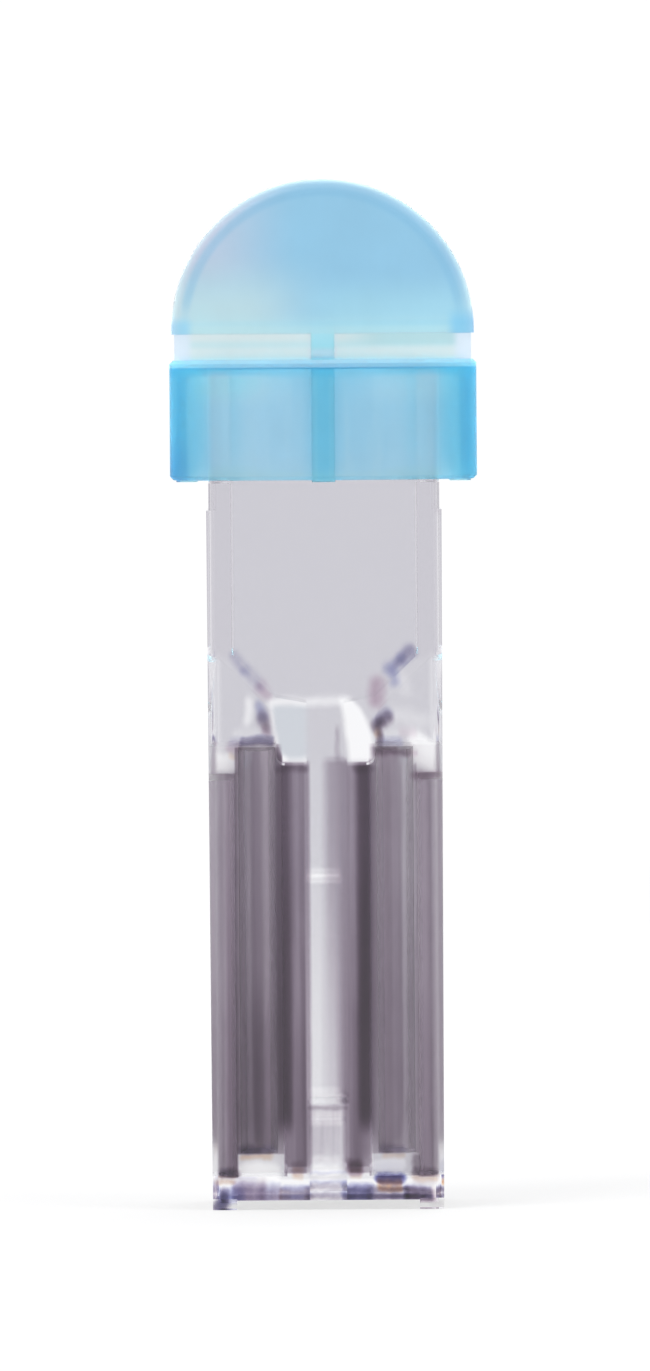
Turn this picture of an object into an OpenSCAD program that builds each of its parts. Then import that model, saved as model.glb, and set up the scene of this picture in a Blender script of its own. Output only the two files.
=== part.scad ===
// Narrow-chamber measuring cell with its push-on cap, in millimetres.
// The cell is one moulding: a square cup on top, a funnel, and below it a
// 2 mm wide, 10 mm long measuring chamber between two flat window plates.
// A pocket, open to the side, runs up each side of the chamber as far as the
// underside of the funnel. Half-round ribs and corner posts stand in it and
// mask the plates beside the chamber.
// The cap is one moulding too: a round skirt with centring ribs, a thin top
// and an upright half-disc to hold it by.
// X is the width, Y is the light path, and Z is up from the feet.

/* [Body] */
// Outside depth of the body across the two window plates
body_d = 12.5; // [12.4:0.05:12.6]
// Outside width of the body at its feet
foot_w = 12.4; // [12.3:0.05:12.5]
// Outside width of the body at the shoulder
shoulder_w = 12.62; // [12.55:0.01:12.7]
// Height of the whole body, feet to rim
body_h = 45; // [44.5:0.1:46]
// Radius of the upright outside corners
corner_r = 0.55; // [0.4:0.05:0.7]

/* [Neck] */
// Height of the shoulder where the neck starts
shoulder_z = 37.5; // [37:0.1:38]
// Outside width of the neck across its flats
neck_w = 12.4; // [12.2:0.05:12.4]
// Height where the corners of the neck are cut round, just under the skirt
stop_z = 38.95; // [38.5:0.05:39]
// Outside corner radius of the neck, which lets the round cap pass over it
neck_r = 3.3; // [3.2:0.05:3.6]

/* [Cup and funnel] */
// Inside width of the cup
cup_w = 10; // [9.8:0.1:10]
// Inside corner radius of the cup
cup_r = 0.15; // [0.1:0.05:0.6]
// Height where the funnel meets the side walls of the cup
funnel_top_z = 29.75; // [29.4:0.05:30.2]
// Height of the foot of the funnel slope
funnel_foot_z = 27.45; // [27.2:0.05:27.6]
// Thickness of the sloping funnel walls
funnel_t = 0.65; // [0.6:0.05:0.9]
// Half width of the funnel at the foot of its slope
throat_half = 2.65; // [2.55:0.05:2.75]
// Height of the mouth of the chamber
mouth_z = 27.15; // [27:0.05:27.2]
// Height below which the walls of the chamber are thinner
throat_bottom_z = 23.8; // [23.6:0.1:24]

/* [Chamber] */
// Width of the measuring chamber
chamber_w = 2; // [1.8:0.1:2.2]
// Length of the chamber along the light path
chamber_d = 10; // [9.8:0.1:10]
// Height of the chamber floor
chamber_floor_z = 5.6; // [5.4:0.1:5.8]
// Thickness of the chamber floor
chamber_floor_t = 0.9; // [0.7:0.1:1.1]
// Thickness of the two walls beside the chamber
chamber_wall = 1.2; // [1.1:0.05:1.25]
// Height of the fill mark on the front window
mark_z = 17.7; // [15:0.1:20]

/* [Ribs and feet] */
// Height of the pocket floor
pocket_floor_z = 1.75; // [1.6:0.05:1.9]
// Height of the upper ends of the half-round ribs
rib_top_z = 24.8; // [24.5:0.1:25]
// Height of the upper ends of the corner posts
post_top_z = 23.4; // [23.2:0.1:23.8]
// Slope of the ends of the ribs and posts
end_slope = 14; // [8:1:30]
// Half-round rib radius
rib_r = 1; // [0.9:0.02:1.02]
// Distance of each half-round rib from the middle
rib_x = 3.7; // [3.65:0.05:3.75]
// Height of the lower ends of the half-round ribs
rib_bottom_z = 3; // [2.6:0.1:3.4]
// Inner side of the corner posts, from the middle
post_x = 4.9; // [4.85:0.05:5]
// Depth of the corner posts behind the window plates
post_depth = 1.7; // [1.4:0.1:1.8]
// Height of the gap under the body between its four feet
foot_gap = 0.5; // [0.4:0.05:0.9]

/* [Cap] */
// Outside diameter of the skirt
cap_d = 16.55; // [16.5:0.05:16.8]
// Thickness of the skirt
skirt_t = 0.65; // [0.6:0.05:0.7]
// Height of the lower edge of the skirt
skirt_z = 39.1; // [38.8:0.1:39.5]
// Thickness of the flat top
top_t = 0.5; // [0.45:0.05:0.6]
// Play between the rim of the body and the underside of the top
rim_gap = 0.05; // [0.03:0.01:0.1]
// Width of the four centring ribs
centring_w = 1.25; // [1.1:0.05:1.4]
// Play between the centring ribs and the neck
neck_gap = 0.1; // [0.05:0.01:0.15]
// Radius of the half-disc
tab_r = 8.16; // [8.1:0.02:8.2]
// Height of the centre of the half-disc
tab_centre_z = 47.15; // [47.1:0.05:47.4]
// Thickness of the half-disc, whose edge is fully round
tab_t = 1.5; // [1.3:0.1:1.6]
// Height of the foot of the half-disc above the flat top
root_h = 1.4; // [1.1:0.05:1.45]
// Half width of the thin web that carries the half-disc
root_half = 8; // [7.2:0.05:8]
// Thickness of the thin web
root_t = 0.5; // [0.4:0.05:0.7]

/* [Hidden] */
$fn = 64;

cap_top_z = body_h + rim_gap + top_t;
skirt_in_r = cap_d / 2 - skirt_t;
plate_in = chamber_d / 2;
pocket_in = chamber_w / 2 + chamber_wall;
draft = atan((shoulder_w - foot_w) / 2 / shoulder_z);
slope = atan((funnel_top_z - funnel_foot_z) / (cup_w / 2 - throat_half));

// Height of the underside of the funnel wall at a distance from the middle.
function roof(x) =
    funnel_top_z - funnel_t / cos(slope) - (cup_w / 2 - x) * tan(slope);

// A square with round corners, centred.
module round_square(w, d, r) {
    square([w - 2 * r, d], center = true);
    square([w, d - 2 * r], center = true);
    for (sx = [-1, 1], sy = [-1, 1])
        translate([sx * (w / 2 - r), sy * (d / 2 - r)]) circle(r = r);
}

// Everything under a plane through a point, tipped about X and then about Y.
module under_plane(at, tip_x, tip_y) {
    translate(at) rotate([tip_x, tip_y, 0])
        translate([-30, -30, -60]) cube([60, 60, 60]);
}

// Lays an X-Z outline down and carries it along Y, centred on Y.
module along_y(depth) {
    rotate([90, 0, 0]) linear_extrude(depth, center = true) children();
}

// Outside of the square body, drafted on its left and right sides.
module body_block() {
    intersection() {
        linear_extrude(shoulder_z)
            round_square(shoulder_w + 0.3, body_d, corner_r + 0.15);
        translate([foot_w / 2, 0, 0]) rotate([0, draft, 0])
            translate([-40, -20, -5]) cube([40, 40, 60]);
        translate([-foot_w / 2, 0, 0]) rotate([0, -draft, 0])
            translate([0, -20, -5]) cube([40, 40, 60]);
    }
}

// Neck above the shoulder: square as far as the cap reaches, then with
// round corners, so that the square part stops the cap.
module neck_block() {
    translate([0, 0, shoulder_z - 1])
        linear_extrude(stop_z - shoulder_z + 1)
            round_square(neck_w, neck_w, corner_r);
    translate([0, 0, shoulder_z - 1])
        linear_extrude(body_h - shoulder_z + 1)
            round_square(neck_w, neck_w, neck_r);
}

// Cup and funnel, down to the mouth of the chamber.
module cup_space() {
    intersection() {
        linear_extrude(body_h + 1) round_square(cup_w, cup_w, cup_r);
        along_y(cup_w) {
            polygon([
                [-cup_w / 2, body_h + 1], [-cup_w / 2, funnel_top_z],
                [-throat_half, funnel_foot_z], [-chamber_w / 2, mouth_z],
                [chamber_w / 2, mouth_z], [throat_half, funnel_foot_z],
                [cup_w / 2, funnel_top_z], [cup_w / 2, body_h + 1]
            ]);
        }
    }
}

// The measuring chamber, a plain slot from window to window.
module chamber_space() {
    translate([-chamber_w / 2, -chamber_d / 2, chamber_floor_z])
        cube([chamber_w, chamber_d, mouth_z + 0.2 - chamber_floor_z]);
}

// Outline of one pocket in X-Z. Its inner side is the chamber wall, which is
// thicker near the mouth, and its roof runs under the funnel slope.
module pocket_outline() {
    step = throat_half - pocket_in;
    r = 0.75;
    cx = throat_half + r;
    cz = roof(cx) - r / cos(slope);
    difference() {
        union() {
            polygon([
                [pocket_in, pocket_floor_z], [pocket_in, throat_bottom_z + step],
                [throat_half, throat_bottom_z + step], [throat_half, cz],
                [cx - r * sin(slope), cz + r * cos(slope)],
                [9, roof(9)], [9, pocket_floor_z]
            ]);
            translate([cx, cz]) circle(r = r);
        }
        translate([pocket_in, throat_bottom_z + step]) circle(r = step);
    }
}

// One half-round rib on the inside of a window plate, ending short of the
// floor and of the roof. Both its ends slope away from the plate.
module mask_rib(back) {
    intersection() {
        translate([rib_x, back * plate_in, 0])
            cylinder(r = rib_r, h = rib_top_z + 1);
        under_plane([0, back * plate_in, rib_top_z], back * end_slope, 0);
        translate([0, back * plate_in, rib_bottom_z])
            rotate([180 - back * end_slope, 0, 0])
                translate([-30, -30, -60]) cube([60, 60, 60]);
    }
}

// One corner post behind the edge of a window plate, with a round nose.
module corner_post(back) {
    r = 0.65;
    nose = plate_in - post_depth;
    intersection() {
        linear_extrude(post_top_z + 1) {
            translate([post_x + r, back > 0 ? nose : -plate_in - 0.2])
                square([3, post_depth + 0.2]);
            translate([post_x, back > 0 ? nose + r : -plate_in - 0.2])
                square([3, post_depth - r + 0.2]);
            translate([post_x + r, back * (nose + r)]) circle(r = r);
        }
        under_plane([0, back * plate_in, post_top_z], back * end_slope, 0);
    }
}

// One open pocket, with its ribs and posts left standing.
module side_pocket() {
    difference() {
        along_y(chamber_d) pocket_outline();
        for (back = [-1, 1]) {
            mask_rib(back);
            corner_post(back);
        }
    }
}

// Gap between the feet, seen from the front and from the sides,
// and the core hole under the chamber floor.
module base_space() {
    translate([-post_x, -20, -1]) cube([2 * post_x, 40, foot_gap + 1]);
    translate([-20, -(plate_in - post_depth), -1])
        cube([40, 2 * (plate_in - post_depth), foot_gap + 1]);
    translate([-chamber_w / 2, -plate_in, -1])
        cube([chamber_w, 2 * plate_in,
            chamber_floor_z - chamber_floor_t + 1]);
}

// The fill mark, a fine groove across the outside of the front window.
module fill_mark() {
    translate([-chamber_w / 2, -body_d / 2 - 1, mark_z - 0.13])
        cube([chamber_w, 1.12, 0.26]);
}

module cuvette() {
    color([0.78, 0.77, 0.81, 0.5])
        difference() {
            union() {
                body_block();
                neck_block();
            }
            cup_space();
            chamber_space();
            side_pocket();
            mirror([1, 0, 0]) side_pocket();
            base_space();
            fill_mark();
        }
}

// Skirt and flat top in one turned section.
module cap_shell() {
    c = 0.2;
    rotate_extrude($fn = 96)
        polygon([
            [0, cap_top_z - top_t], [skirt_in_r, cap_top_z - top_t],
            [skirt_in_r, skirt_z + c], [skirt_in_r + c, skirt_z],
            [cap_d / 2 - c, skirt_z], [cap_d / 2, skirt_z + c],
            [cap_d / 2, cap_top_z - c], [cap_d / 2 - c, cap_top_z],
            [0, cap_top_z]
        ]);
}

// Half-disc with a round edge, on a thin web that joins it to the flat top.
module cap_tab() {
    foot = cap_top_z + root_h;
    nose = tab_t / 2;
    intersection() {
        translate([0, 0, tab_centre_z]) rotate([90, 0, 0])
            rotate_extrude($fn = 128) {
                translate([0, -nose]) square([tab_r - nose, tab_t]);
                intersection() {
                    translate([tab_r - nose, 0]) circle(r = nose);
                    translate([tab_r - nose - 0.1, -nose]) square([nose + 1, tab_t]);
                }
            }
        translate([-20, -20, foot]) cube([40, 40, 20]);
    }
    along_y(root_t)
        translate([-root_half, cap_top_z - 0.1])
            square([2 * root_half, root_h + 0.3]);
}

// Small buttress across the middle of the web, on both of its faces.
module buttress() {
    rise = root_h + 0.85;
    run = 0.2;
    for (turn = [0, 180])
        rotate([0, 0, turn])
            translate([-centring_w / 2, 0, 0])
                rotate([90, 0, 90]) linear_extrude(centring_w)
                    polygon([
                        [0, cap_top_z - 0.1], [tab_t / 2 + run, cap_top_z - 0.1],
                        [tab_t / 2 + run, cap_top_z], [tab_t / 2, cap_top_z + rise],
                        [0, cap_top_z + rise]
                    ]);
}

// Four ribs inside the skirt that centre the cap on the flats of the neck.
module centring_ribs() {
    tip = neck_w / 2 + neck_gap;
    lead = 0.5;
    for (turn = [0:90:270])
        rotate([0, 0, turn])
            translate([0, centring_w / 2, 0]) rotate([90, 0, 0])
                linear_extrude(centring_w)
                    polygon([
                        [tip + lead, skirt_z - 0.1], [skirt_in_r + 0.3, skirt_z - 0.1],
                        [skirt_in_r + 0.3, cap_top_z - 0.1],
                        [tip, cap_top_z - top_t + 0.1], [tip, skirt_z + 1]
                    ]);
}

module cap() {
    color([0.57, 0.78, 0.89, 0.85]) {
        cap_shell();
        cap_tab();
        buttress();
        centring_ribs();
    }
}

cuvette();
cap();
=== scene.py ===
import math

import bpy
from mathutils import Matrix, Vector

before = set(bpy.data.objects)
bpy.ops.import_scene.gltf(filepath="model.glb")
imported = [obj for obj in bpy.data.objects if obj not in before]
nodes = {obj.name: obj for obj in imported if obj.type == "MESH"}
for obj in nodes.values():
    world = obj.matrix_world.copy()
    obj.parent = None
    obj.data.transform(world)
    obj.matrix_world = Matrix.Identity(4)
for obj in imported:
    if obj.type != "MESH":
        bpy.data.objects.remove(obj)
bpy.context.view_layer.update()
scene = bpy.context.scene


# ---------------------------------------------------------------- camera
# The picture is 650 x 1371, so the sensor's width is the long side, the height.
PX_PER_MM = 18.55
LENS = 500.0
SENSOR = 36.0
AZ = math.radians(0.0)
DROP = math.radians(1.0)
ROLL = math.radians(0.40)
TARGET = Vector((0.0, 0.0, 0.02798))

view_height = 1371 / PX_PER_MM / 1000
distance = view_height * LENS / SENSOR
cam_data = bpy.data.cameras.new("camera")
cam_data.lens = LENS
cam_data.sensor_width = SENSOR
cam_data.sensor_fit = "AUTO"
cam_data.clip_start = 0.02
cam_data.clip_end = 50.0
cam = bpy.data.objects.new("camera", cam_data)
scene.collection.objects.link(cam)
back = Vector((math.sin(AZ) * math.cos(DROP), -math.cos(AZ) * math.cos(DROP), math.sin(DROP)))
cam.location = TARGET + back * distance
cam.rotation_mode = "QUATERNION"
look = (-back).to_track_quat("-Z", "Y").to_matrix()
cam.rotation_quaternion = (look @ Matrix.Rotation(-ROLL, 3, "Z")).to_quaternion()
scene.camera = cam

scene.view_settings.view_transform = "Standard"
scene.view_settings.look = "None"
scene.view_settings.exposure = 0.0
scene.view_settings.gamma = 1.0

# clear plastic sends a ray round many times before it comes out
scene.cycles.max_bounces = 64
scene.cycles.transmission_bounces = 64
scene.cycles.glossy_bounces = 64


# ---------------------------------------------------------------- node helpers
class Tree:
    """Short names for the nodes of one material or world."""

    def __init__(self, owner):
        owner.use_nodes = True
        self.t = owner.node_tree
        self.t.nodes.clear()

    def new(self, kind, **settings):
        n = self.t.nodes.new(kind)
        for k, v in settings.items():
            setattr(n, k, v)
        return n

    def put(self, socket, value):
        if isinstance(value, bpy.types.NodeSocket):
            self.t.links.new(value, socket)
        elif isinstance(value, tuple) and len(value) == 3 and socket.type == "RGBA":
            socket.default_value = (*value, 1.0)
        else:
            socket.default_value = value

    def math(self, op, a, b=None, c=None, clamp=False):
        n = self.new("ShaderNodeMath", operation=op, use_clamp=clamp)
        for s, v in zip(n.inputs, (a, b, c)):
            if v is not None:
                self.put(s, v)
        return n.outputs[0]

    def ramp(self, x, x0, x1, y0=0.0, y1=1.0):
        """Smooth step from y0 at x0 to y1 at x1."""
        n = self.new("ShaderNodeMapRange", interpolation_type="SMOOTHSTEP")
        for s, v in zip(n.inputs, (x, x0, x1, y0, y1)):
            self.put(s, v)
        return n.outputs[0]

    def band(self, x, x0, x1, soft):
        """1 between x0 and x1, with soft edges."""
        a = self.ramp(x, x0 - soft / 2, x0 + soft / 2)
        b = self.ramp(x, x1 - soft / 2, x1 + soft / 2, 1.0, 0.0)
        return self.math("MULTIPLY", a, b)

    def mul(self, *xs):
        out = xs[0]
        for x in xs[1:]:
            out = self.math("MULTIPLY", out, x)
        return out

    def mix(self, fac, a, b):
        n = self.new("ShaderNodeMix", data_type="RGBA")
        self.put(n.inputs[0], fac)
        self.put(n.inputs[6], a)
        self.put(n.inputs[7], b)
        return n.outputs[2]

    def mixf(self, fac, a, b):
        n = self.new("ShaderNodeMix", data_type="FLOAT")
        self.put(n.inputs[0], fac)
        self.put(n.inputs[2], a)
        self.put(n.inputs[3], b)
        return n.outputs[0]

    def noise(self, vector, scale, detail=2.0, rough=0.5):
        n = self.new("ShaderNodeTexNoise")
        self.put(n.inputs["Vector"], vector)
        n.inputs["Scale"].default_value = scale
        n.inputs["Detail"].default_value = detail
        n.inputs["Roughness"].default_value = rough
        return n.outputs["Fac"]

    def stretch(self, vector, sx, sy, sz):
        n = self.new("ShaderNodeMapping")
        self.put(n.inputs["Vector"], vector)
        n.inputs["Scale"].default_value = (sx, sy, sz)
        return n.outputs[0]

    def vmath(self, op, a, b=None):
        n = self.new("ShaderNodeVectorMath", operation=op)
        self.put(n.inputs[0], a)
        if b is not None:
            self.put(n.inputs[1], b)
        return n.outputs["Value" if op in ("DOT_PRODUCT", "DISTANCE", "LENGTH") else "Vector"]

    def stroke(self, p, x0, z0, x1, z1, half, soft):
        """1 within half of the line from x0, z0 to x1, z1 in the X-Z plane, with soft edges."""
        way = Vector((x1 - x0, 0.0, z1 - z0))
        rel = self.vmath("SUBTRACT", p, (x0, 0.0, z0))
        along = self.vmath("DOT_PRODUCT", rel, tuple(way / max(way.length_squared, 1e-6)))
        along = self.math("MINIMUM", self.math("MAXIMUM", along, 0.0), 1.0)
        n = self.new("ShaderNodeVectorMath", operation="SCALE")
        self.put(n.inputs[0], tuple(way))
        self.put(n.inputs["Scale"], along)
        return self.ramp(self.vmath("DISTANCE", rel, n.outputs[0]), max(half - soft / 2, 0.0), half + soft / 2, 1.0, 0.0)

    def strokes(self, p, rows):
        """Sum of strokes, each row being x0, z0, x1, z1, half, soft, amount."""
        out = 0.0
        for row in rows:
            out = self.math("MULTIPLY_ADD", self.stroke(p, *row[:6]), row[6], out)
        return out

    def box(self, x, z, x0, x1, z0, z1, soft, lean=0.0):
        """1 in an upright box in the X-Z plane; lean moves it in X for each step down from its top."""
        if lean:
            x = self.math("SUBTRACT", x, self.math("MULTIPLY", self.math("SUBTRACT", z1, z), lean))
        return self.mul(self.band(x, x0, x1, soft), self.band(z, z0, z1, soft))

    def total(self, *xs):
        out = xs[0]
        for x in xs[1:]:
            out = self.math("ADD", out, x)
        return out

    def inside(self, n, x0, x1):
        """1 where n lies between x0 and x1, with hard edges."""
        return self.math("MULTIPLY", self.math("GREATER_THAN", n, x0), self.math("LESS_THAN", n, x1))

    def gain(self, color, value):
        """The colour times a number."""
        n = self.new("ShaderNodeMix", data_type="RGBA", blend_type="MULTIPLY")
        n.inputs[0].default_value = 1.0
        self.put(n.inputs[6], color)
        c = self.new("ShaderNodeCombineColor")
        for i in range(3):
            self.put(c.inputs[i], value)
        self.put(n.inputs[7], c.outputs[0])
        return n.outputs[2]

    def mm(self):
        """Object coordinates in millimetres: vector, x, y, z."""
        c = self.new("ShaderNodeTexCoord")
        n = self.new("ShaderNodeVectorMath", operation="SCALE")
        self.put(n.inputs[0], c.outputs["Object"])
        n.inputs["Scale"].default_value = 1000.0
        s = self.new("ShaderNodeSeparateXYZ")
        self.put(s.inputs[0], n.outputs[0])
        return n.outputs[0], s.outputs[0], s.outputs[1], s.outputs[2]


# ---------------------------------------------------------------- stage and light
FLOOR_Z = -0.00002
floor_mesh = bpy.data.meshes.new("floor")
ring, R = 96, 0.9
verts = [(0.0, 0.0, FLOOR_Z)]
verts += [(R * math.cos(2 * math.pi * i / ring), R * math.sin(2 * math.pi * i / ring), FLOOR_Z) for i in range(ring)]
floor_mesh.from_pydata(verts, [], [(0, 1 + i, 1 + (i + 1) % ring) for i in range(ring)])
floor = bpy.data.objects.new("floor", floor_mesh)
scene.collection.objects.link(floor)

# white paper that fades into the white background, so that no horizon shows
m = bpy.data.materials.new("stage_paper")
t = Tree(m)
c = t.new("ShaderNodeTexCoord")
n = t.new("ShaderNodeVectorMath", operation="LENGTH")
t.put(n.inputs[0], c.outputs["Object"])
away = t.ramp(n.outputs["Value"], 0.25, 0.8)
b = t.new("ShaderNodeBsdfDiffuse")
b.inputs["Color"].default_value = (0.20, 0.20, 0.20, 1)
e = t.new("ShaderNodeEmission")
e.inputs["Strength"].default_value = 0.64
lit = t.new("ShaderNodeAddShader")
t.put(lit.inputs[0], b.outputs[0])
t.put(lit.inputs[1], e.outputs[0])
clear = t.new("ShaderNodeBsdfTransparent")
mx = t.new("ShaderNodeMixShader")
t.put(mx.inputs[0], away)
t.put(mx.inputs[1], lit.outputs[0])
t.put(mx.inputs[2], clear.outputs[0])
o = t.new("ShaderNodeOutputMaterial")
t.put(o.inputs[0], mx.outputs[0])
floor_mesh.materials.append(m)

# the studio: bright panels behind, in front and at both sides, dimmer corners between them, a bright ceiling
world = bpy.data.worlds.new("studio")
scene.world = world
t = Tree(world)
c = t.new("ShaderNodeTexCoord")
s = t.new("ShaderNodeSeparateXYZ")
t.put(s.inputs[0], c.outputs["Generated"])
dx, dy, dz = s.outputs
ax, ay = t.math("ABSOLUTE", dx), t.math("ABSOLUTE", dy)
flat = t.math("SQRT", t.math("ADD", t.math("MULTIPLY", dx, dx), t.math("MULTIPLY", dy, dy)))
card = t.math("DIVIDE", t.math("MAXIMUM", ax, ay), t.math("MAXIMUM", flat, 0.001))
facing = t.ramp(card, 0.80, 0.95)
DIM = (0.62, 0.60, 0.64)
PANEL = (0.95, 0.95, 0.97)
SKY = (1.35, 1.35, 1.37)
GROUND = (0.95, 0.95, 0.95)
col = t.mix(facing, DIM, PANEL)
col = t.mix(t.ramp(dz, 0.25, 0.7), col, SKY)
col = t.mix(t.ramp(dz, -0.05, -0.3), col, GROUND)
bg1 = t.new("ShaderNodeBackground")
t.put(bg1.inputs["Color"], col)
bg2 = t.new("ShaderNodeBackground")
bg2.inputs["Color"].default_value = (1.02, 1.02, 1.02, 1)
lp = t.new("ShaderNodeLightPath")
mx = t.new("ShaderNodeMixShader")
t.put(mx.inputs[0], lp.outputs["Is Camera Ray"])
t.put(mx.inputs[1], bg1.outputs[0])
t.put(mx.inputs[2], bg2.outputs[0])
o = t.new("ShaderNodeOutputWorld")
t.put(o.inputs[0], mx.outputs[0])


def lamp(name, azimuth, elevation, dist, size, power, color=(1, 1, 1)):
    a, e = math.radians(azimuth), math.radians(elevation)
    way = Vector((math.sin(a) * math.cos(e), -math.cos(a) * math.cos(e), math.sin(e)))
    d = bpy.data.lights.new(name, "AREA")
    d.shape = "DISK"
    d.size = size
    d.energy = power
    d.color = color
    l = bpy.data.objects.new(name, d)
    scene.collection.objects.link(l)
    l.location = TARGET + way * dist
    l.rotation_mode = "QUATERNION"
    l.rotation_quaternion = way.to_track_quat("Z", "Y")
    l.visible_camera = l.visible_transmission = False
    return l


lamp("key", -35, 48, 1.6, 0.8, 14.0)
lamp("fill", 50, 40, 1.6, 0.9, 7.0)
lamp("rim", 170, 60, 1.6, 0.8, 8.0)


# ---------------------------------------------------------------- cuvette: clear moulded polystyrene
m = bpy.data.materials.new("cell_polystyrene")
t = Tree(m)
vec, x, y, z = t.mm()
ax, ay = t.math("ABSOLUTE", x), t.math("ABSOLUTE", y)

# the outer skin carries the grey of the plastic; the inner faces are clear
ix, iy = t.math("MAXIMUM", t.math("SUBTRACT", ax, 2.95), 0.0), t.math("MAXIMUM", t.math("SUBTRACT", ay, 2.95), 0.0)
ring = t.math("SQRT", t.math("ADD", t.math("MULTIPLY", ix, ix), t.math("MULTIPLY", iy, iy)))
on_neck = t.math("GREATER_THAN", z, 37.25)
skin = t.mixf(on_neck, t.math("GREATER_THAN", t.math("MAXIMUM", ax, ay), 6.05), t.math("GREATER_THAN", ring, 3.1))

# how much painted shade lies on the plastic, in place of light that the ribs and posts bend away: 1 in the ribbed part,
# more than 2 in its darkest lines
wander = t.math("MULTIPLY_ADD", t.noise(t.stretch(vec, 0.0, 0.0, 0.35), 1.0, 2.0, 0.5), 0.10, -0.05)
xs = t.math("ADD", x, wander)
down = t.ramp(z, 24.0, 3.0)
low = t.ramp(z, 13.5, 7.0)
strips = t.total(
    t.box(ax, z, 1.16, 2.35, 1.95, 23.8, 0.14),
    t.box(ax, z, 2.35, 4.85, 3.0, 24.8, 0.14),
    t.mul(t.ramp(ax, 4.78, 4.92), t.band(z, 1.75, 23.4, 0.14)))
# painted light: the painted shade fades out towards the body's outer edges
edge = t.math("SUBTRACT", 1.0, t.mul(t.ramp(t.math("SUBTRACT", ax, t.mul(t.math("GREATER_THAN", x, 0.0), -0.03)), 5.64, 6.04), 0.98))
wall_z = t.band(z, 1.95, 23.75, 0.3)
fade = t.ramp(z, 3.6, 5.0)
lines = t.total(
    t.mul(t.band(xs, -2.74, -1.94, 0.50), fade, t.total(1.04, t.mul(down, 0.68), t.mul(t.band(z, 9.0, 18.0, 5.0), 0.10))),
    t.mul(t.band(xs, 1.71, 2.42, 0.50), fade, t.total(1.40, t.mul(down, 0.45), t.mul(t.band(z, 9.0, 18.0, 5.0), 0.22))),
    t.mul(t.band(xs, -5.40, -4.78, 0.36), t.total(1.00, t.mul(down, 0.70))),
    t.mul(t.band(xs, -5.10, -4.86, 0.24), 0.14),
    t.mul(t.band(xs, 4.92, 5.56, 0.36), t.total(0.58, t.mul(down, 0.26))),
    t.mul(t.band(xs, -4.44, -3.00, 0.34), t.total(0.18, t.mul(down, 0.18), t.mul(low, 0.72))),
    t.mul(t.band(xs, -3.42, -3.00, 0.26), 0.34),
    t.mul(t.band(xs, -1.75, -1.10, 0.30), low, 0.20),
    t.mul(t.band(xs, 1.42, 1.84, 0.30), low, 0.36),
    t.mul(t.band(xs, -1.42, -1.08, 0.26), t.total(0.16, t.mul(down, 0.18))),
    t.mul(t.band(xs, -5.72, -4.62, 0.40), t.total(0.14, t.mul(down, 0.12), t.mul(low, 0.16))),
    t.mul(t.band(xs, 4.80, 5.66, 0.36), t.total(0.26, t.mul(low, 0.20))),
    t.mul(t.band(xs, 2.50, 3.90, 0.40), 0.13),
    t.mul(t.band(xs, 3.00, 3.44, 0.36), t.total(0.94, t.mul(down, 0.20))))
# painted highlights: lighter bands taken off the painted shade
light = t.total(
    t.mul(t.band(xs, 1.20, 1.56, 0.40), t.math("SUBTRACT", 0.18, t.mul(down, 0.30))),
    t.mul(t.band(xs, 3.72, 4.76, 0.50), t.math("SUBTRACT", 0.62, t.mul(down, 0.36))),
    t.mul(t.band(xs, 4.34, 4.72, 0.24), 0.34),
    t.mul(t.band(xs, 1.90, 2.50, 0.40), t.ramp(z, 3.0, 2.4), 0.35),
    t.mul(t.band(xs, 4.62, 5.00, 0.20), t.ramp(z, 23.7, 24.2), 1.80),
    t.mul(t.band(xs, 2.18, 2.96, 0.30), t.mul(low, 0.26)))
streak = t.math("MULTIPLY_ADD", t.noise(t.stretch(vec, 3.0, 0.0, 0.06), 1.0, 3.0, 0.65), 0.60, -0.30)
cloud = t.math("MULTIPLY_ADD", t.noise(t.stretch(vec, 0.8, 0.0, 0.25), 1.0, 2.0, 0.5), 0.40, -0.20)
painted_shade = t.mul(strips, edge, t.total(1.0, t.mul(down, 0.30), lines, t.mul(light, -1.0), streak, cloud))

# the chamber, in painted shade: a dark line on its left border, clear beside it, and a lilac shade that deepens to its
# right
in_slot = t.ramp(ax, 1.10, 1.22, 1.0, 0.0)
painted_lilac_shade = t.total(
    t.mul(t.ramp(xs, -0.34, 0.36), t.math("SUBTRACT", 0.58, t.mul(down, 0.46))),
    t.mul(t.ramp(xs, 0.28, 1.16), t.math("MULTIPLY_ADD", down, 0.86, 0.26)))
painted_shade = t.total(painted_shade,
    t.mul(t.ramp(ax, 4.86, 4.96), t.ramp(z, 29.2, 29.8), 0.05),
    t.mul(painted_lilac_shade, in_slot, t.band(z, 5.7, 24.0, 0.3)),
    t.mul(t.ramp(xs, -0.76, -1.04), in_slot, wall_z, 0.85),
    t.mul(t.ramp(xs, 0.66, 1.04), in_slot, t.band(z, 1.95, 5.9, 0.4), 0.75),
    t.mul(t.band(z, 2.5, 5.5, 0.3), in_slot, t.math("MULTIPLY_ADD", t.noise(t.stretch(vec, 2.2, 0.0, 0.5), 1.0, 2.0, 0.6), 0.50, -0.04)))
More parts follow.
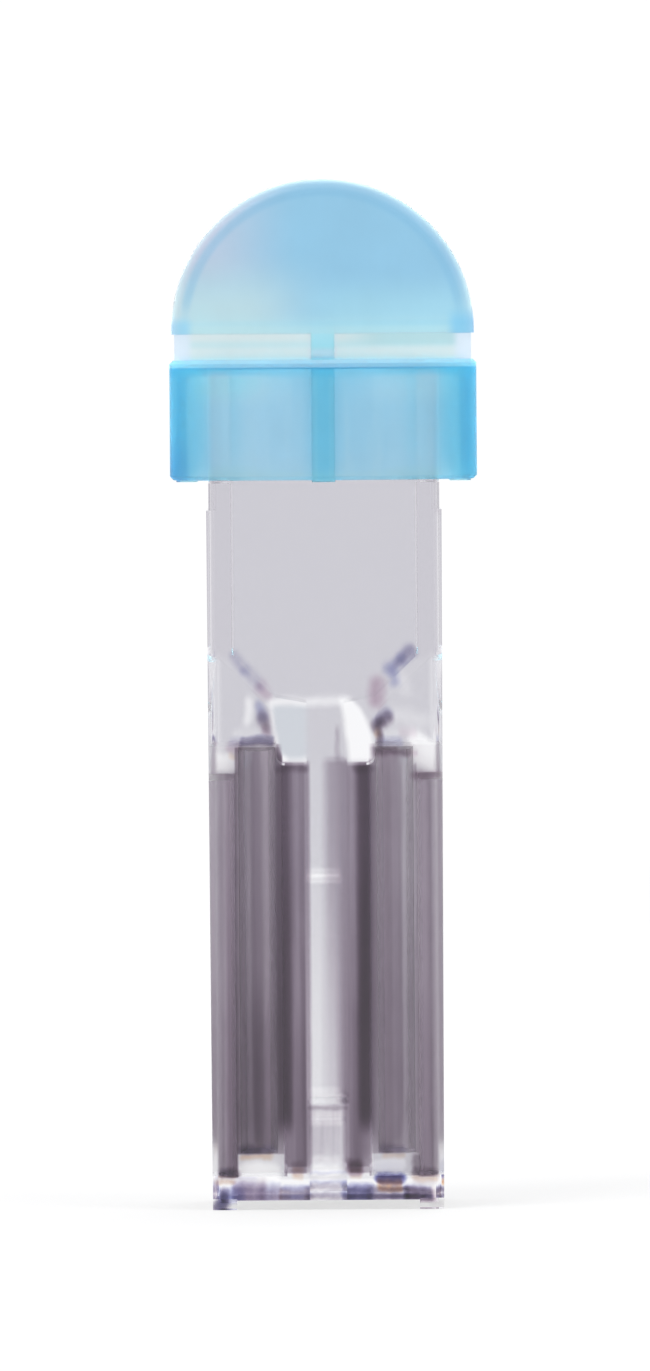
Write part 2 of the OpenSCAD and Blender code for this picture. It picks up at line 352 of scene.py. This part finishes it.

# Painted shade where light is bent out of the way: the funnel wall on edge, its ends, and the tops and feet of the ribs
# and posts. Each row is a stroke from x0, z0 to x1, z1, with its half width, softness and amount.
wob = t.new("ShaderNodeTexNoise")
t.put(wob.inputs["Vector"], t.stretch(vec, 1.0, 0.0, 1.0))
wob.inputs["Scale"].default_value = 1.1
wob.inputs["Detail"].default_value = 2.0
pos = t.vmath("ADD", vec, t.vmath("MULTIPLY", t.vmath("SUBTRACT", wob.outputs["Color"], (0.5, 0.5, 0.5)), (0.36, 0.0, 0.36)))
pos = t.vmath("MULTIPLY", pos, (1.0, 0.0, 1.0))
mottle = t.math("MULTIPLY_ADD", t.noise(t.stretch(vec, 2.4, 0.0, 2.4), 1.0, 2.0, 0.5), 0.90, 0.55)
painted_shade = t.total(painted_shade, t.mul(mottle, t.strokes(pos, (
    (-3.42, 26.34, -3.20, 25.78, 0.20, 0.54, 0.92),
    (3.34, 26.30, 2.80, 25.78, 0.26, 0.56, 1.24),
    (3.10, 26.05, 2.95, 25.92, 0.08, 0.40, 0.90),
    (-4.50, 24.94, -3.00, 25.02, 0.13, 0.34, 1.05),
    (2.85, 24.54, 4.68, 24.50, 0.16, 0.38, 1.15),
    (-6.00, 23.36, -4.80, 23.36, 0.10, 0.36, 0.25),
    (4.80, 23.24, 6.00, 23.24, 0.20, 0.36, 0.55),
    (-2.55, 23.62, -1.05, 23.62, 0.12, 0.36, 0.70),
    (1.60, 23.58, 2.50, 23.58, 0.12, 0.36, 0.55),
    (-4.45, 3.26, -3.75, 3.26, 0.20, 0.50, 1.65),
    (3.00, 3.22, 3.90, 3.22, 0.18, 0.50, 0.90),
    (4.70, 2.80, 4.70, 2.00, 0.18, 0.28, 1.40),
    (2.95, 1.34, 3.80, 1.34, 0.16, 0.34, 0.50),
    (2.98, 25.40, 2.80, 24.70, 0.12, 0.36, 1.05),
    (-5.60, 1.98, -5.00, 1.98, 0.22, 0.44, 2.00),
    (4.70, 1.98, 5.60, 1.98, 0.16, 0.38, 1.25),
    (-1.78, 2.08, -1.52, 2.08, 0.18, 0.42, 0.75),
    (1.28, 2.12, 1.60, 2.08, 0.20, 0.42, 1.90),
    (-5.70, 0.36, -5.86, 0.06, 0.34, 0.50, 1.90),
    (0.95, 0.70, 2.10, 0.70, 0.10, 0.44, 1.42),
    (2.30, 0.68, 4.20, 0.68, 0.10, 0.44, 1.50),
    (4.30, 0.66, 5.42, 0.62, 0.13, 0.44, 2.30),
    (-2.40, 0.66, -1.00, 0.66, 0.10, 0.44, 0.94),
    (-5.00, 0.72, -2.60, 0.70, 0.10, 0.44, 0.78),
    (-1.10, 0.70, 0.95, 0.70, 0.12, 0.44, 1.00),
    (-0.95, 5.46, 0.95, 5.46, 0.08, 0.26, 0.65),
    (-5.95, 1.52, -5.15, 1.50, 0.14, 0.40, 0.50),
    (4.70, 1.46, 5.60, 1.46, 0.14, 0.40, 0.40),
    (5.60, 0.40, 5.90, 0.20, 0.18, 0.44, 0.25),
    (-4.60, 1.10, -3.60, 1.06, 0.24, 0.56, 0.52),
    (4.66, 29.84, 4.00, 29.26, 0.22, 0.60, 0.34),
    (-4.92, 29.58, -3.60, 28.15, 0.16, 0.60, 0.12),
    (0.62, 25.60, 0.66, 24.00, 0.08, 0.36, 0.26),
    (6.10, 37.45, 6.16, 37.35, 0.12, 0.36, 0.12),
))))
# painted shade in blue where light is bent out of the way
blue = t.mul(mottle, t.strokes(pos, (
    (-4.92, 29.60, -4.30, 28.85, 0.20, 0.56, 0.26),
    (-4.30, 28.85, -3.45, 28.00, 0.19, 0.56, 0.20),
    (4.60, 29.80, 4.12, 29.40, 0.26, 0.60, 0.52),
    (4.05, 29.35, 3.45, 28.85, 0.24, 0.60, 0.55),
    (3.66, 28.80, 3.74, 28.20, 0.20, 0.56, 0.45),
    (-3.58, 26.86, -3.36, 26.30, 0.18, 0.50, 0.58),
    (3.34, 26.50, 2.90, 26.10, 0.24, 0.56, 0.48),
    (-4.50, 25.02, -3.00, 25.08, 0.10, 0.30, 0.90),
    (-5.00, 24.98, -4.60, 25.04, 0.10, 0.40, 0.30),
    (3.00, 25.00, 3.95, 24.98, 0.14, 0.40, 0.50),
    (-4.60, 3.24, -3.05, 3.24, 0.18, 0.44, 0.70),
    (2.95, 3.22, 4.00, 3.22, 0.18, 0.44, 0.45),
    (-5.60, 2.02, -5.15, 1.98, 0.16, 0.40, 0.50),
    (-4.95, 0.88, -2.70, 0.82, 0.18, 0.50, 0.75),
    (-2.30, 0.80, -1.15, 0.80, 0.12, 0.42, 1.25),
    (-1.05, 0.78, 0.80, 0.78, 0.12, 0.46, 0.45),
    (0.90, 0.80, 2.15, 0.80, 0.14, 0.44, 2.10),
    (2.74, 1.66, 3.90, 1.64, 0.25, 0.34, 3.10),
    (-4.70, 1.50, -4.00, 1.50, 0.15, 0.40, 0.25),
    (2.40, 0.74, 4.20, 0.72, 0.10, 0.42, 0.80),
    (4.25, 0.80, 5.42, 0.74, 0.12, 0.42, 1.20),
    (-5.72, 0.42, -4.80, 0.72, 0.19, 0.48, 1.25),
    (-5.70, 0.44, -5.86, 0.16, 0.30, 0.50, 1.30),
    (-0.95, 1.52, 0.85, 1.52, 0.05, 0.26, 0.45),
)))
# painted shade in rose where light is bent out of the way
rose = t.mul(mottle, t.strokes(pos, (
    (-3.42, 27.98, -3.18, 27.58, 0.24, 0.56, 0.42),
    (2.80, 28.00, 2.72, 27.24, 0.40, 0.70, 0.50),
    (-3.22, 25.62, -3.10, 25.50, 0.12, 0.40, 0.50),
    (2.85, 24.42, 4.75, 24.44, 0.16, 0.40, 0.50),
    (-5.10, 24.70, -4.70, 24.72, 0.16, 0.44, 0.55),
    (4.10, 25.45, 4.70, 25.42, 0.14, 0.44, 0.22),
    (4.80, 23.24, 6.00, 23.24, 0.20, 0.40, 0.55),
    (-1.78, 2.00, -1.52, 2.00, 0.20, 0.42, 0.35),
    (1.28, 2.06, 1.62, 2.02, 0.22, 0.42, 0.90),
    (-4.90, 0.92, -3.60, 0.86, 0.18, 0.44, 0.50),
    (-4.80, 0.54, -2.60, 0.52, 0.12, 0.40, 0.35),
    (-2.50, 0.54, -1.20, 0.54, 0.14, 0.40, 0.10),
    (1.05, 0.52, 2.25, 0.52, 0.13, 0.40, 0.12),
    (2.80, 1.60, 3.80, 1.58, 0.20, 0.34, 1.10),
    (4.40, 0.62, 5.60, 0.60, 0.16, 0.46, 0.55),
)))
# painted amber fringes where light is bent out of the way
amber = t.mul(mottle, t.strokes(pos, (
    (-4.60, 2.84, -3.10, 2.84, 0.10, 0.34, 1.00),
    (3.00, 2.86, 4.00, 2.86, 0.10, 0.34, 0.60),
    (-5.95, 1.46, -5.05, 1.46, 0.10, 0.34, 0.75),
    (4.60, 1.62, 5.70, 1.62, 0.10, 0.32, 0.70),
    (-1.80, 1.74, -1.48, 1.74, 0.10, 0.30, 0.80),
    (1.28, 1.76, 1.66, 1.76, 0.10, 0.30, 0.55),
    (2.75, 1.12, 3.85, 1.12, 0.13, 0.32, 2.30),
    (-2.50, 0.50, -1.20, 0.50, 0.10, 0.34, 0.35),
    (2.86, 25.44, 2.76, 25.36, 0.10, 0.36, 0.70),
    (-5.05, 24.36, -4.90, 24.30, 0.12, 0.40, 0.45),
)))

# painted light: patches and lines painted near white, as highlights in the slot's column, above the post tops, along
# the outer edges and near the base, and as lighter lines across the slot
col_right = t.math("SUBTRACT", 2.62, t.mul(t.math("POWER", t.math("MAXIMUM", t.math("SUBTRACT", z, 23.9), 0.0), 3.0), 0.0293))
col_left = t.math("MULTIPLY_ADD", t.math("SUBTRACT", 27.3, z), 0.134, 0.80)
px = t.math("ADD", x, t.math("MULTIPLY_ADD", wob.outputs["Fac"], 0.20, -0.10))
column = t.mul(
    t.ramp(t.math("SUBTRACT", px, col_left), -0.20, 0.26),
    t.ramp(t.math("SUBTRACT", px, col_right), -0.26, 0.16, 1.0, 0.0),
    t.band(z, 23.90, 27.34, 0.34))
# a paler bluish patch of painted light left of the slot, below the funnel
block = t.mul(
    t.ramp(t.math("SUBTRACT", px, t.math("MULTIPLY_ADD", t.math("SUBTRACT", 26.82, z), 0.17, -2.94)), -0.12, 0.24),
    t.ramp(x, -0.70, -1.34), t.band(z, 23.98, 27.0, 0.30),
    t.ramp(t.math("ADD", t.math("SUBTRACT", -2.30, x), t.math("SUBTRACT", 24.35, z)), 0.36, -0.06))
painted_light = t.total(t.mul(column, 0.97), t.strokes(pos, (
    (-2.90, 27.15, 0.95, 27.15, 0.18, 0.42, 0.74),
    (-2.92, 26.80, -2.58, 24.60, 0.09, 0.38, 0.42),
    (-2.55, 24.50, -2.15, 24.06, 0.09, 0.36, 0.52),
    (-2.10, 24.04, -1.15, 24.02, 0.10, 0.34, 0.62),
    (-4.16, 27.15, -4.16, 26.10, 0.19, 0.46, 0.60),
    (-4.80, 25.42, -3.40, 25.42, 0.10, 0.46, 0.35),
    (-6.20, 24.02, -5.20, 23.98, 0.42, 0.50, 1.00),
    (4.92, 25.00, 5.35, 24.60, 0.46, 0.50, 1.00),
    (5.20, 24.40, 6.20, 24.06, 0.66, 0.46, 1.00),
    (3.60, 26.45, 5.20, 26.05, 0.40, 0.80, 0.30),
    (3.35, 25.35, 4.60, 25.50, 0.16, 0.46, 0.35),
    (4.05, 28.40, 4.40, 27.70, 0.25, 0.80, 0.22),
    (-4.35, 2.02, -3.05, 2.02, 0.50, 0.40, 0.99),
    (2.66, 2.38, 3.90, 2.38, 0.30, 0.30, 0.99),
    (-0.70, 2.10, 0.45, 2.10, 0.26, 0.34, 0.92),
    (-0.40, 1.14, 0.10, 1.14, 0.12, 0.34, 0.90),
    (6.02, 1.90, 6.02, 0.40, 0.10, 0.34, 0.90),
    (-6.00, 1.24, -5.20, 1.18, 0.06, 0.30, 0.60),
)),
    t.mul(t.ramp(ax, 5.45, 6.20), t.band(z, 23.6, 29.6, 0.9), 0.85),
    t.mul(t.ramp(ax, 5.80, 6.24), t.math("GREATER_THAN", z, 28.5), 0.74),
    t.mul(t.ramp(ax, 5.70, 6.14), t.math("LESS_THAN", z, 24.5), 0.92),
    t.mul(t.ramp(z, 1.72, 1.54), 0.80),
    t.mul(t.band(x, -0.95, 0.75, 0.3), t.band(z, 4.50, 4.94, 0.30), 0.85),
    t.mul(t.band(x, -1.05, 0.75, 0.3), t.band(z, 5.66, 6.10, 0.30), 0.65),
    t.mul(t.band(x, -1.05, 0.80, 0.3), t.band(z, 17.50, 17.98, 0.24), 0.86),
    t.mul(t.ramp(xs, -0.20, -0.45), in_slot, t.band(z, 6.0, 24.0, 1.0), t.math("MULTIPLY_ADD", down, 0.16, 0.05)))
painted_light = t.math("MINIMUM", painted_light, 1.0)

GREY = (0.643, 0.634, 0.675)
pane = t.mix(block, GREY, (0.640, 0.672, 0.716))
pane = t.mix(painted_light, pane, (1.0, 1.0, 1.0))
# painted light: the neck's grey is lighter where it stands inside the cap
pane = t.mix(t.ramp(z, 38.9, 40.2), pane, (0.82, 0.815, 0.84))
painted_shade = t.mul(painted_shade, t.math("SUBTRACT", 1.0, t.mul(t.math("MAXIMUM", column, block), 0.9)))


def veiled(amount, k):
    """exp(-amount * k) for the three colours."""
    c = t.new("ShaderNodeCombineColor")
    for i in range(3):
        t.put(c.inputs[i], t.math("EXPONENT", t.math("MULTIPLY", amount, -k[i])))
    return c.outputs[0]


def times(a, b):
    n = t.new("ShaderNodeMix", data_type="RGBA", blend_type="MULTIPLY")
    n.inputs[0].default_value = 1.0
    t.put(n.inputs[6], a)
    t.put(n.inputs[7], b)
    return n.outputs[2]


window = t.math("GREATER_THAN", ay, 6.05)
painted_shade = t.mul(t.math("MAXIMUM", painted_shade, 0.0), t.mixf(window, 0.25, 1.0))
skin_col = times(pane, veiled(painted_shade, (1.0, 1.18, 0.99)))
skin_col = times(skin_col, veiled(t.mul(blue, window), (1.0, 0.95, 0.45)))
skin_col = times(skin_col, veiled(t.mul(rose, window), (0.62, 1.0, 0.75)))
skin_col = times(skin_col, veiled(t.mul(amber, window), (0.22, 0.62, 1.0)))
ribbed = t.mul(t.math("GREATER_THAN", ax, 2.4), t.band(z, 1.9, 24.9, 0.2))
inner = t.new("ShaderNodeBsdfPrincipled")
inner.inputs["Base Color"].default_value = (0.975, 0.975, 0.98, 1)
t.put(inner.inputs["Roughness"], t.mixf(ribbed, 0.02, 0.30))
outer = t.new("ShaderNodeBsdfPrincipled")
t.put(outer.inputs["Base Color"], skin_col)
outer.inputs["Roughness"].default_value = 0.02
for b in (inner, outer):
    b.inputs["IOR"].default_value = 1.57
    b.inputs["Transmission Weight"].default_value = 1.0
mx = t.new("ShaderNodeMixShader")
t.put(mx.inputs[0], skin)
t.put(mx.inputs[1], inner.outputs[0])
t.put(mx.inputs[2], outer.outputs[0])
o = t.new("ShaderNodeOutputMaterial")
t.put(o.inputs[0], mx.outputs[0])
cell = m

# ---------------------------------------------------------------- cap: translucent light blue polyethylene
m = bpy.data.materials.new("cap_polyethylene")
t = Tree(m)
vec, x, y, z = t.mm()
ax, ay = t.math("ABSOLUTE", x), t.math("ABSOLUTE", y)
flat_r = t.math("SQRT", t.math("ADD", t.math("MULTIPLY", x, x), t.math("MULTIPLY", y, y)))
dz = t.math("SUBTRACT", z, 47.15)
disc_r = t.math("SQRT", t.math("ADD", t.math("MULTIPLY", x, x), t.math("MULTIPLY", dz, dz)))
under = t.math("MULTIPLY", t.math("LESS_THAN", flat_r, 7.75), t.math("LESS_THAN", z, 45.1))
soft = t.noise(vec, 0.30, 3.0, 0.55)
fine = t.noise(t.stretch(vec, 1.4, 1.4, 0.7), 1.0, 3.0, 0.6)
draw = t.noise(t.stretch(vec, 0.9, 0.9, 0.12), 1.0, 2.0, 0.5)

# half-disc: deep in the middle; a painted reflection greyer at the upper left, painted highlights paler towards its
# foot and on its rim, a darker line near its foot, and painted shade in a ring inside its rim and at its lower side
# corners
DISC = (0.60, 0.64, 0.79)
disc = t.mix(t.mul(t.ramp(x, -1.0, -6.5), t.ramp(z, 47.5, 51.0)), DISC, (0.97, 0.67, 0.76))
disc = t.mix(t.mul(t.ramp(x, 1.0, -4.5), t.ramp(z, 51.5, 48.2)), disc, (1.0, 0.78, 0.785))
disc = t.mix(t.mul(t.ramp(x, -2.5, 1.5), t.ramp(z, 50.5, 48.0), 0.75), disc, (0.80, 0.79, 0.86))
disc = t.mix(t.mul(t.ramp(z, 48.2, 46.98), 0.65), disc, (1.0, 0.88, 0.87))
disc = t.mix(t.mul(t.band(z, 47.36, 47.66, 0.24), t.ramp(x, -3.0, 5.0, 0.16, 0.32)), disc, (0.62, 0.72, 0.84))
disc = t.mix(t.mul(t.band(disc_r, 7.22, 7.68, 0.30), t.ramp(z, 47.4, 49.0), 0.45), disc, (0.46, 0.56, 0.74))
disc = t.mix(t.mul(t.ramp(disc_r, 7.80, 8.12), 0.75), disc, (1.0, 0.98, 0.97))
disc = t.mix(t.mul(t.ramp(x, -6.85, -7.45), t.ramp(z, 48.1, 47.3), 0.75), disc, (0.58, 0.70, 0.87))
disc = t.mix(t.mul(t.ramp(x, 6.55, 7.25), t.ramp(z, 48.5, 47.5), 0.85), disc, (0.48, 0.66, 0.86))

# thin web below it, pale partly from its thinness and partly from painted highlight, which is strongest just above the
# flat top and at its ends, nearly colourless there
web = t.mix(t.band(z, 46.20, 46.56, 0.34), (0.92, 0.875, 0.86), (0.79, 0.85, 0.86))
web = t.mix(t.ramp(z, 45.75, 45.56), web, (0.90, 0.96, 0.98))
web = t.mix(t.mul(t.ramp(x, 0.5, 3.5), t.ramp(z, 46.20, 46.50), 0.85), web, (0.63, 0.785, 0.81))
web = t.mix(t.ramp(ax, 6.9, 7.4), web, (0.95, 0.90, 0.97))
web = t.mix(t.mul(t.ramp(ax, 0.95, 0.35), t.ramp(z, 46.05, 46.40), 0.9), web, (0.84, 0.83, 0.88))
web = t.mix(t.mul(t.ramp(ax, 0.95, 0.35), t.ramp(z, 46.35, 46.00), t.ramp(z, 45.57, 45.64), 0.9), web, (1.0, 0.80, 0.85))

# skirt and flat top, with painted shade and light: shade beside the inner rib behind the middle and in strips where the
# wall turns edge-on, a highlight on the outer rim, a dark line below the flat top, a paler lower edge, and shade at the
# lower left corner
skirt = t.mix(t.ramp(x, -3.0, 4.0), (0.69, 0.72, 0.855), (0.61, 0.695, 0.84))
skirt = t.mix(t.mul(t.ramp(ax, 2.6, 4.2), t.ramp(ax, 7.42, 7.12)), skirt, t.mix(t.ramp(x, -2.0, 2.0), (0.86, 0.79, 0.90), (0.78, 0.77, 0.89)))
skirt = t.mix(t.mul(t.ramp(draw, 0.45, 0.75), 0.4), skirt, (0.86, 0.80, 0.88))
skirt = t.mix(t.mul(t.band(ax, 0.30, 0.60, 0.16), 0.45), skirt, (0.86, 0.80, 0.89))
skirt = t.mix(t.mul(t.ramp(ax, 0.58, 0.64), t.ramp(ax, 1.30, 0.62), 0.75), skirt, (0.50, 0.65, 0.82))
skirt = t.mix(t.mul(t.band(ax, 7.36, 7.86, 0.20), 0.85), skirt, (0.50, 0.63, 0.80))
skirt = t.mix(t.mul(t.ramp(ax, 7.86, 8.15), 0.4), skirt, (0.86, 0.82, 0.90))
skirt = t.mix(t.mul(t.ramp(z, 44.40, 44.95), 0.95), skirt, (0.47, 0.67, 0.84))
skirt = t.mix(t.mul(t.ramp(z, 40.4, 39.3), 0.4), skirt, (0.62, 0.78, 0.90))
skirt = t.mix(t.mul(t.ramp(z, 42.0, 39.3), t.ramp(x, -7.0, -7.6), 0.8), skirt, (0.42, 0.50, 0.74))
# the skirt is painted lighter where the grey neck stands behind it
upper = t.mul(t.ramp(z, 42.8, 44.1), t.ramp(z, 44.9, 44.5), t.ramp(ax, 1.6, 4.2), t.ramp(ax, 7.3, 6.6), 0.95)
skirt = t.mix(upper, skirt, t.mix(t.ramp(x, -2.0, 3.0), (0.98, 0.86, 0.90), (0.91, 0.82, 0.90)))
# painted light, stronger towards the skirt's foot, where the neck stands behind it
painted_lift = t.mix(t.ramp(z, 38.9, 40.2), (1.19, 1.24, 1.23), (1.095, 1.115, 1.10))
painted_lift = t.mix(t.ramp(ax, 6.27, 6.15), (1.0, 1.0, 1.0), painted_lift)
skirt = t.vmath("MINIMUM", t.vmath("MULTIPLY", skirt, painted_lift), (0.99, 0.99, 0.99))
# painted highlight: the flat top's side lighter
skirt = t.mix(t.ramp(z, 45.08, 45.20), skirt, (0.80, 0.93, 0.99))
skirt = t.mix(t.ramp(z, 45.22, 45.46), skirt, (0.84, 0.96, 1.0))

color = t.mix(t.math("GREATER_THAN", z, 45.52), skirt, web)
color = t.mix(t.math("GREATER_THAN", z, 46.94), color, disc)
color = t.gain(color, t.math("ADD", t.math("MULTIPLY_ADD", soft, 0.16, 0.92), t.math("MULTIPLY_ADD", fine, 0.06, -0.03)))
color = t.mix(under, color, (0.97, 0.98, 0.99))
b = t.new("ShaderNodeBsdfPrincipled")
t.put(b.inputs["Base Color"], color)
t.put(b.inputs["Roughness"], t.math("MULTIPLY_ADD", fine, 0.3, 0.55))
b.inputs["IOR"].default_value = 1.10
# light that goes sideways through the flat top is scattered before it is absorbed
frosted = t.total(
    t.mul(t.band(z, 45.12, 45.62, 0.10), t.ramp(flat_r, 7.2, 8.0)),
    t.mul(t.band(z, 45.70, 46.06, 0.16), t.ramp(ax, 0.95, 0.35), 0.7))
t.put(b.inputs["Transmission Weight"], t.math("MULTIPLY_ADD", frosted, -0.17, 0.96))
b.inputs["Coat Weight"].default_value = 0.2
b.inputs["Coat Roughness"].default_value = 0.3
v = t.new("ShaderNodeVolumeAbsorption")
v.inputs["Color"].default_value = (0.706, 0.953, 0.9806, 1)
v.inputs["Density"].default_value = 1700.0
o = t.new("ShaderNodeOutputMaterial")
t.put(o.inputs[0], b.outputs[0])
t.put(o.inputs[1], v.outputs[0])
cap = m

for name, m in (("cuvette", cell), ("cap", cap)):
    o = nodes[name]
    o.data.materials.clear()
    o.data.materials.append(m)
